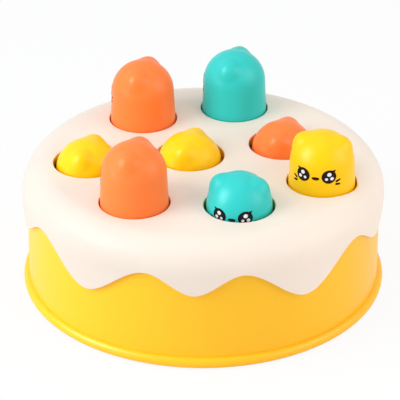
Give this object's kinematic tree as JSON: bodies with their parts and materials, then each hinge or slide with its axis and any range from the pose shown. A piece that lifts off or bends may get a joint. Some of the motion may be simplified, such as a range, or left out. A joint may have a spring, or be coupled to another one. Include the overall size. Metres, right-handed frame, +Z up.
{
  "type": "whack-a-mole toy",
  "caption": "Cake-shaped whack-a-mole toy: a round drum under a dripping icing cover, with capsule animal heads that rise and fall in see-saw pairs.",
  "frame": {"origin": "on the table, under the middle of the drum's foot rim", "axes": "+Z up; +Y along the three side-by-side see-saws towards the back, +X along the single see-saw at the near side"},
  "size_m": [0.23, 0.23, 0.1228],
  "materials": {
    "icing": "satin, warm white",
    "drum": "satin, amber yellow",
    "base": "fine moulded grain, amber yellow",
    "mole_orange": "soft satin, orange",
    "mole_teal": "soft satin, teal",
    "mole_yellow": "soft satin, yellow",
    "mechanism": "plain moulded white",
    "steel": "bright zinc plated"
  },
  "bodies": {
    "cake": {"icing_cover": "icing", "cake_drum": "drum", "base_plate": "base", "base_screws": "steel", "pivot_pin_left": "steel", "pivot_pin_mid": "steel", "pivot_pin_right": "steel", "pivot_pin_near": "steel"},
    "left_see_saw": {"rocker_left": "mechanism"},
    "left_back_mole": {"mole_left_back": "mole_yellow", "plunger_left_back": "mechanism"},
    "left_front_mole": {"mole_left_front": "mole_orange", "plunger_left_front": "mechanism"},
    "mid_see_saw": {"rocker_mid": "mechanism"},
    "mid_back_mole": {"mole_mid_back": "mole_orange", "plunger_mid_back": "mechanism"},
    "mid_front_mole": {"mole_mid_front": "mole_yellow", "plunger_mid_front": "mechanism"},
    "right_see_saw": {"rocker_right": "mechanism"},
    "right_back_mole": {"mole_right_back": "mole_teal", "plunger_right_back": "mechanism"},
    "right_front_mole": {"mole_right_front": "mole_orange", "plunger_right_front": "mechanism"},
    "near_see_saw": {"rocker_near": "mechanism"},
    "near_right_mole": {"mole_near_right": "mole_yellow", "plunger_near_right": "mechanism"},
    "near_left_mole": {"mole_near_left": "mole_teal", "plunger_near_left": "mechanism"}
  },
  "joints": [
    {"name": "left_rock", "type": "hinge", "parent": "cake", "child": "left_see_saw", "pos_m": [-0.06416, 0.00375, 0.0249], "axis": [1, 0, 0], "range_deg": [0, 47.58]},
    {"name": "left_back_slide", "type": "slide", "parent": "cake", "child": "left_back_mole", "axis": [0, 0, 1], "range_m": [0, 0.02521]},
    {"name": "left_front_slide", "type": "slide", "parent": "cake", "child": "left_front_mole", "axis": [0, 0, 1], "range_m": [-0.02521, 0]},
    {"name": "mid_rock", "type": "hinge", "parent": "cake", "child": "mid_see_saw", "pos_m": [-0.00482, 0.03836, 0.0249], "axis": [1, 0, 0], "range_deg": [-47.58, 0]},
    {"name": "mid_back_slide", "type": "slide", "parent": "cake", "child": "mid_back_mole", "axis": [0, 0, 1], "range_m": [-0.02521, 0]},
    {"name": "mid_front_slide", "type": "slide", "parent": "cake", "child": "mid_front_mole", "axis": [0, 0, 1], "range_m": [0, 0.02521]},
    {"name": "right_rock", "type": "hinge", "parent": "cake", "child": "right_see_saw", "pos_m": [0.05376, 0.02117, 0.0249], "axis": [1, 0, 0], "range_deg": [-47.58, 0]},
    {"name": "right_back_slide", "type": "slide", "parent": "cake", "child": "right_back_mole", "axis": [0, 0, 1], "range_m": [-0.02521, 0]},
    {"name": "right_front_slide", "type": "slide", "parent": "cake", "child": "right_front_mole", "axis": [0, 0, 1], "range_m": [0, 0.02521]},
    {"name": "near_rock", "type": "hinge", "parent": "cake", "child": "near_see_saw", "pos_m": [0.01832, -0.06184, 0.0249], "axis": [0, -1, 0], "range_deg": [-35.78, 11.8]},
    {"name": "near_right_slide", "type": "slide", "parent": "cake", "child": "near_right_mole", "axis": [0, 0, 1], "range_m": [-0.01896, 0.00626]},
    {"name": "near_left_slide", "type": "slide", "parent": "cake", "child": "near_left_mole", "axis": [0, 0, 1], "range_m": [-0.00626, 0.01896]}
  ],
  "couplings": [
    {"joint": "left_back_slide", "follows": "left_rock", "m_per_rad": 0.030343},
    {"joint": "left_front_slide", "follows": "left_rock", "m_per_rad": -0.030343},
    {"joint": "mid_back_slide", "follows": "mid_rock", "m_per_rad": 0.030343},
    {"joint": "mid_front_slide", "follows": "mid_rock", "m_per_rad": -0.030343},
    {"joint": "right_back_slide", "follows": "right_rock", "m_per_rad": 0.030343},
    {"joint": "right_front_slide", "follows": "right_rock", "m_per_rad": -0.030343},
    {"joint": "near_right_slide", "follows": "near_rock", "m_per_rad": 0.030343},
    {"joint": "near_left_slide", "follows": "near_rock", "m_per_rad": -0.030343}
  ]
}
